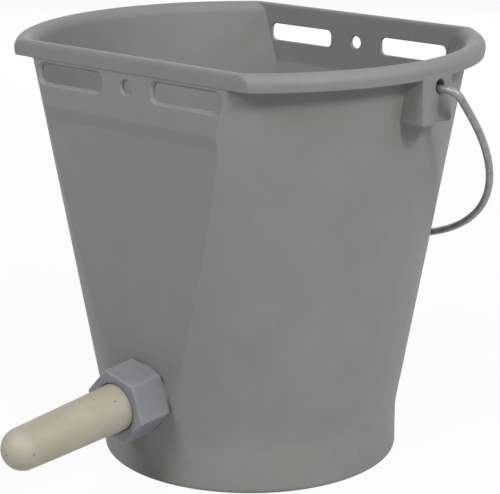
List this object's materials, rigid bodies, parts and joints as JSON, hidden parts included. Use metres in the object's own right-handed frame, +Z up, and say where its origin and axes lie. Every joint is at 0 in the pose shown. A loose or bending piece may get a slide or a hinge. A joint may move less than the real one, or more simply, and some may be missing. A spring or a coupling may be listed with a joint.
{
  "type": "calf feeder bucket",
  "caption": "Moulded calf feeder bucket with flat front and back panels, hanger slots, a swinging wire bail, and a rubber teat held over a ball valve by a hexagonal union nut.",
  "frame": {"origin": "centre of the round base, on the ground", "axes": "+Z up, -Y out of the front panel along the teat, X along the bail's pivot line"},
  "size_m": [0.3086, 0.3207, 0.26],
  "materials": {
    "bucket_plastic": "mid-grey moulded polypropylene, fine satin grain",
    "galvanised_wire": "dull galvanised steel wire",
    "valve_plastic": "white moulded plastic",
    "seal_rubber": "black rubber",
    "teat_rubber": "cream latex, slightly soiled",
    "nut_plastic": "blue-grey moulded plastic"
  },
  "bodies": {
    "bucket": {"bucket_body": "bucket_plastic", "valve_body": "valve_plastic", "inner_gasket": "seal_rubber", "outer_washer": "nut_plastic", "ball_retainer": "valve_plastic"},
    "bail": {"bail": "galvanised_wire"},
    "teat": {"teat": "teat_rubber"},
    "nut": {"union_nut": "nut_plastic"},
    "ball": {"valve_ball": "seal_rubber"}
  },
  "joints": [
    {"name": "bail_swing", "type": "hinge", "parent": "bucket", "child": "bail", "pos_m": [0, 0, 0.24375], "axis": [1, 0, 0], "range_deg": [-5, 281]},
    {"name": "teat_slide", "type": "slide", "parent": "bucket", "child": "teat", "axis": [0, -0.9984, -0.0567], "range_m": [0, 0.01401]},
    {"name": "nut_turn", "type": "hinge", "parent": "teat", "child": "nut", "pos_m": [0, -0.09448, 0.0555], "axis": [0, -0.9984, -0.0567], "range_deg": [0, 1440]},
    {"name": "ball_slide", "type": "slide", "parent": "bucket", "child": "ball", "axis": [0, -0.9984, -0.0567], "range_m": [-0.0034, 0]}
  ],
  "couplings": [
    {"joint": "teat_slide", "follows": "nut_turn", "m_per_rad": 0.00055704}
  ]
}
